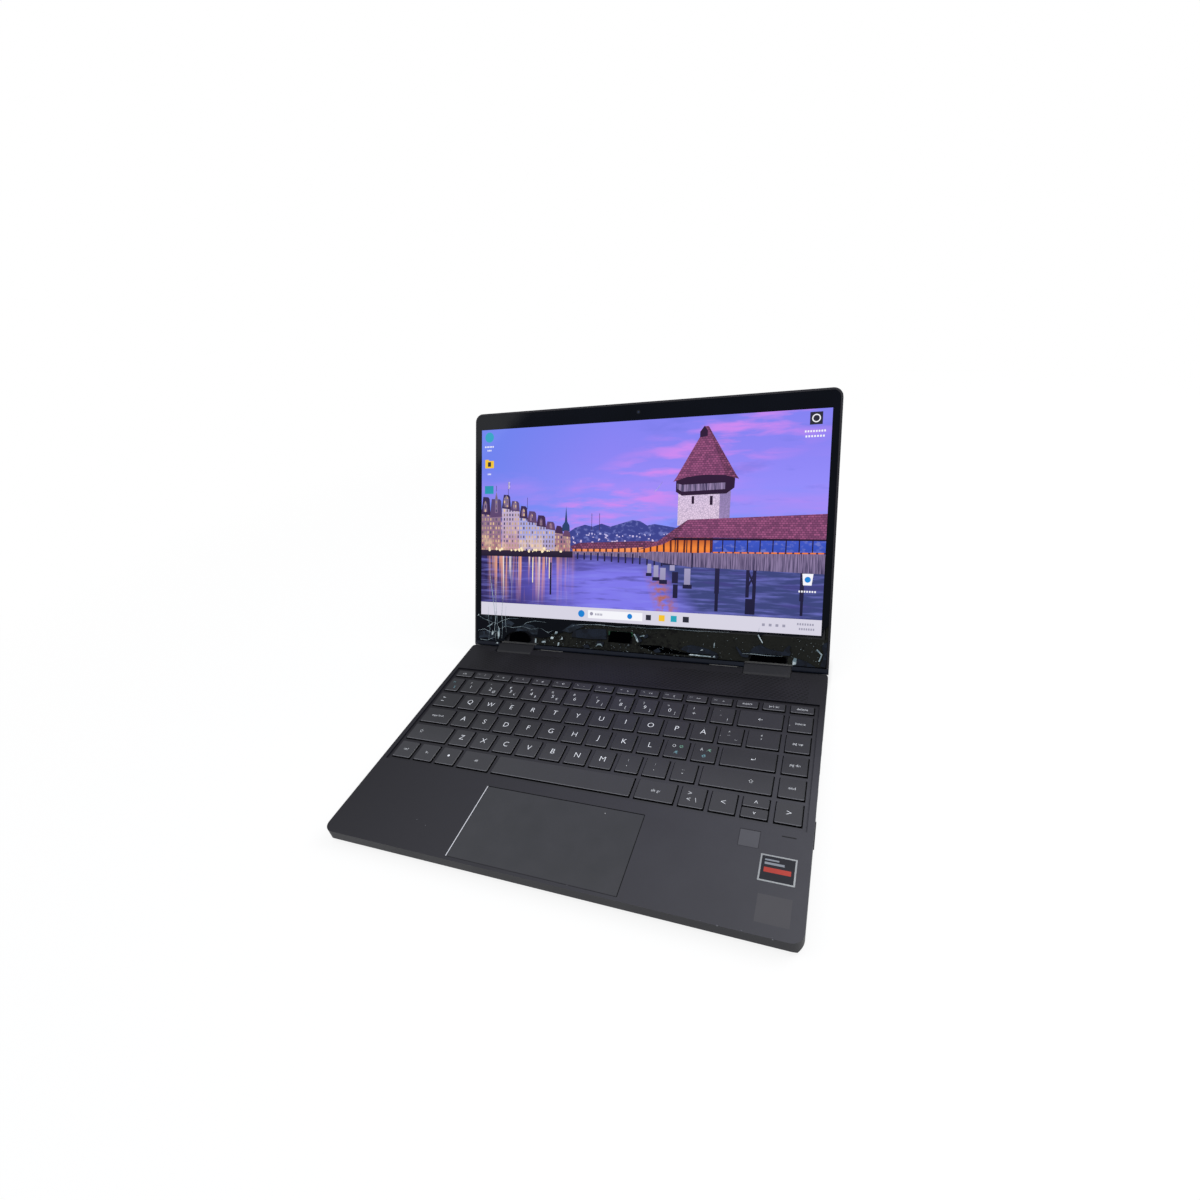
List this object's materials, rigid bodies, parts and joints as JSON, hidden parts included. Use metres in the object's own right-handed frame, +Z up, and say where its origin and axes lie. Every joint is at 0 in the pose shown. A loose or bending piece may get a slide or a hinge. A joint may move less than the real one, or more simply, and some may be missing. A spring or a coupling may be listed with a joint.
{
  "type": "laptop computer",
  "caption": "Thin folding laptop with a dark metal body, standing open and lit, the lower edge of its cover glass shattered above two geared hinges.",
  "frame": {"origin": "middle of the rear foot's sole, where it rests", "axes": "+X to the right of a person in front of it, +Y to the back, +Z up"},
  "size_m": [0.3078, 0.3163, 0.1908],
  "materials": {
    "case_metal": "satin anodised dark grey",
    "hinge_metal": "satin anodised dark grey",
    "foot_rubber": "matte",
    "steel": "plain",
    "dome_rubber": "matte",
    "key_plastic": "fine matte",
    "touchpad_surface": "etched matte",
    "circuit_board": "green solder mask",
    "sensor_glass": "satin",
    "label_film": "metallic film",
    "copper": "bare",
    "fin_metal": "bare",
    "black_plastic": "plain",
    "battery_film": "film",
    "socket_metal": "plain",
    "trim_plastic": "satin",
    "cover_glass": "polished, printed behind the border",
    "display": "lit picture",
    "tape": "dull adhesive film"
  },
  "bodies": {
    "base": {"top_case": "case_metal", "bottom_cover": "case_metal", "front_foot": "foot_rubber", "rear_foot": "foot_rubber", "keyboard_plate": "fin_metal", "key_domes": "dome_rubber", "touchpad_bracket": "steel", "fingerprint_sensor": "sensor_glass", "palm_rest_label": "label_film", "mainboard": "circuit_board", "left_io_board": "circuit_board", "heat_pipe": "copper", "heat_fins": "fin_metal", "fan_housing": "black_plastic", "ssd_module": "circuit_board", "wireless_card": "circuit_board", "battery_pack": "battery_film", "speaker_left": "black_plastic", "speaker_right": "black_plastic", "usb_a_port_left": "socket_metal", "usb_a_port_right": "socket_metal", "usb_c_port": "socket_metal", "dc_inlet": "black_plastic", "audio_jack": "black_plastic", "card_reader": "socket_metal", "case_screws": "steel", "lower_hinge_brackets": "steel", "lower_gear_shafts": "steel", "lower_hinge_screws": "steel"},
    "hinge_links": {"hinge_link_left": "hinge_metal", "hinge_link_right": "hinge_metal", "hinge_caps": "hinge_metal"},
    "lower_idlers": {"lower_idler_gears": "steel"},
    "upper_idlers": {"upper_idler_gears": "steel"},
    "lid": {"upper_gear_shafts": "steel", "upper_hinge_brackets": "steel", "upper_hinge_screws": "steel", "lid_cover": "case_metal", "lid_bottom_trim": "trim_plastic", "cover_glass": "cover_glass", "glass_shards": "cover_glass", "display_panel": "display", "display_board": "circuit_board", "camera_board": "circuit_board", "panel_tape": "tape"},
    "touchpad": {"touchpad_glass": "touchpad_surface", "touchpad_board": "circuit_board"},
    "fan": {"fan_rotor": "black_plastic"},
    "function_keys_body": {"function_keys": "key_plastic"},
    "number_keys_body": {"number_keys": "key_plastic"},
    "upper_letter_keys_body": {"upper_letter_keys": "key_plastic"},
    "home_letter_keys_body": {"home_letter_keys": "key_plastic"},
    "enter_key_body": {"enter_key": "key_plastic"},
    "lower_letter_keys_body": {"lower_letter_keys": "key_plastic"},
    "modifier_keys_body": {"modifier_keys": "key_plastic"},
    "space_bar_body": {"space_bar": "key_plastic"},
    "arrow_keys_body": {"arrow_keys": "key_plastic"},
    "navigation_keys_body": {"navigation_keys": "key_plastic"},
    "power_button_body": {"power_button": "case_metal"},
    "volume_rocker_body": {"volume_rocker": "case_metal"}
  },
  "joints": [
    {"name": "lower_hinge", "type": "hinge", "parent": "base", "child": "hinge_links", "pos_m": [0, 0.016, 0.0056], "axis": [-1, 0, 0], "range_deg": [-59.65, 120.35]},
    {"name": "upper_hinge", "type": "hinge", "parent": "hinge_links", "child": "lid", "pos_m": [0, 0.02295, 0.00967], "axis": [-1, 0, 0], "range_deg": [-59.65, 120.35]},
    {"name": "lower_idler_turn", "type": "hinge", "parent": "hinge_links", "child": "lower_idlers", "pos_m": [0, 0.01832, 0.00696], "axis": [-1, 0, 0], "range_deg": [-59.65, 120.35]},
    {"name": "upper_idler_turn", "type": "hinge", "parent": "hinge_links", "child": "upper_idlers", "pos_m": [0, 0.02063, 0.00831], "axis": [-1, 0, 0], "range_deg": [-120.35, 59.65]},
    {"name": "touchpad_click", "type": "hinge", "parent": "base", "child": "touchpad", "pos_m": [0, -0.1325, 0.01035], "axis": [1, 0, 0], "range_deg": [0, 0.4], "stiffness_Nm_per_rad": 5, "springref_deg": -0.23},
    {"name": "fan_spin", "type": "hinge", "parent": "base", "child": "fan", "pos_m": [-0.045, -0.024, 0.0044], "axis": [0, 0, 1], "continuous": true},
    {"name": "function_keys_press", "type": "slide", "parent": "base", "child": "function_keys_body", "axis": [0, 0, -1], "range_m": [0, 0.0012], "stiffness_N_per_m": 7200, "springref_m": -0.0003, "deforming": ["key_domes"]},
    {"name": "number_keys_press", "type": "slide", "parent": "base", "child": "number_keys_body", "axis": [0, 0, -1], "range_m": [0, 0.0012], "stiffness_N_per_m": 6300, "springref_m": -0.0003, "deforming": ["key_domes"]},
    {"name": "upper_letter_keys_press", "type": "slide", "parent": "base", "child": "upper_letter_keys_body", "axis": [0, 0, -1], "range_m": [0, 0.0012], "stiffness_N_per_m": 6300, "springref_m": -0.0003, "deforming": ["key_domes"]},
    {"name": "home_letter_keys_press", "type": "slide", "parent": "base", "child": "home_letter_keys_body", "axis": [0, 0, -1], "range_m": [0, 0.0012], "stiffness_N_per_m": 5400, "springref_m": -0.0003, "deforming": ["key_domes"]},
    {"name": "enter_key_press", "type": "slide", "parent": "base", "child": "enter_key_body", "axis": [0, 0, -1], "range_m": [0, 0.0012], "stiffness_N_per_m": 450, "springref_m": -0.0003, "deforming": ["key_domes"]},
    {"name": "lower_letter_keys_press", "type": "slide", "parent": "base", "child": "lower_letter_keys_body", "axis": [0, 0, -1], "range_m": [0, 0.0012], "stiffness_N_per_m": 5400, "springref_m": -0.0003, "deforming": ["key_domes"]},
    {"name": "modifier_keys_press", "type": "slide", "parent": "base", "child": "modifier_keys_body", "axis": [0, 0, -1], "range_m": [0, 0.0012], "stiffness_N_per_m": 2700, "springref_m": -0.0003, "deforming": ["key_domes"]},
    {"name": "space_bar_press", "type": "slide", "parent": "base", "child": "space_bar_body", "axis": [0, 0, -1], "range_m": [0, 0.0012], "stiffness_N_per_m": 450, "springref_m": -0.0003, "deforming": ["key_domes"]},
    {"name": "arrow_keys_press", "type": "slide", "parent": "base", "child": "arrow_keys_body", "axis": [0, 0, -1], "range_m": [0, 0.0012], "stiffness_N_per_m": 1800, "springref_m": -0.0003, "deforming": ["key_domes"]},
    {"name": "navigation_keys_press", "type": "slide", "parent": "base", "child": "navigation_keys_body", "axis": [0, 0, -1], "range_m": [0, 0.0012], "stiffness_N_per_m": 1800, "springref_m": -0.0003, "deforming": ["key_domes"]},
    {"name": "power_button_press", "type": "slide", "parent": "base", "child": "power_button_body", "axis": [1, 0, 0], "range_m": [0, 0.0004], "stiffness_N_per_m": 4000, "springref_m": -0.0001},
    {"name": "volume_rocker_tilt", "type": "hinge", "parent": "base", "child": "volume_rocker_body", "pos_m": [0.1512, -0.121, 0.00565], "axis": [0, 0, 1], "range_deg": [-2, 2], "stiffness_Nm_per_rad": 0.3}
  ],
  "couplings": [
    {"joint": "upper_hinge", "follows": "lower_hinge", "ratio": 1},
    {"joint": "lower_idler_turn", "follows": "lower_hinge", "ratio": 1},
    {"joint": "upper_idler_turn", "follows": "lower_hinge", "ratio": -1}
  ]
}
